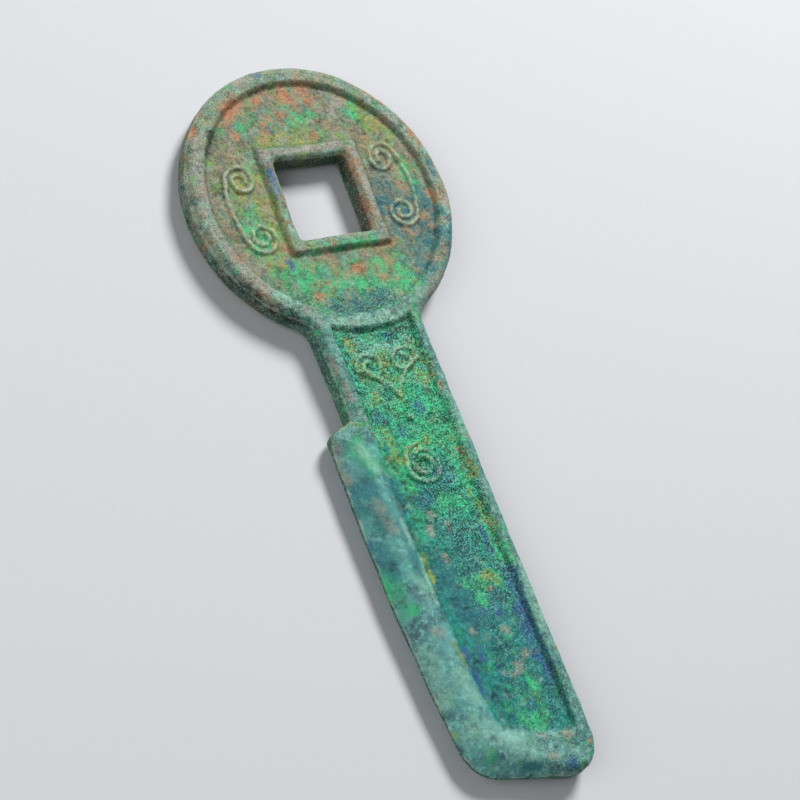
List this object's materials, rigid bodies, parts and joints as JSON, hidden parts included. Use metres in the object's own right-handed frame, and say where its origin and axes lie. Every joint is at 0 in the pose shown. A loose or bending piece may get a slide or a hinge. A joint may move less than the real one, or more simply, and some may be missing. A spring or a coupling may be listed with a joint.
{
  "type": "knife coin",
  "caption": "Cast bronze knife coin: round head with a square string hole, short neck and flat blade, with raised rims on both faces and a bevelled cutting edge.",
  "frame": {"origin": "centre of the square hole, on the plane of the plain face's rims, which the coin lies on", "axes": "+Z out of the front face, +Y from the blade towards the head, +X towards the spine"},
  "size_m": [0.0286, 0.0742, 0.0029],
  "materials": {
    "rim_bronze": "cast bronze under a matt pale verdigris crust",
    "field_bronze": "cast bronze under a grainy malachite, azurite and cuprite crust",
    "edge_bronze": "cast bronze under a smooth pale turquoise crust"
  },
  "bodies": {
    "root": {"outer_rim": "rim_bronze", "head_field": "field_bronze", "hole_rim": "rim_bronze", "blade_field": "field_bronze", "neck_rim": "rim_bronze", "cutting_edge": "edge_bronze", "end_rim": "edge_bronze", "spine_rim": "rim_bronze"}
  },
  "joints": []
}
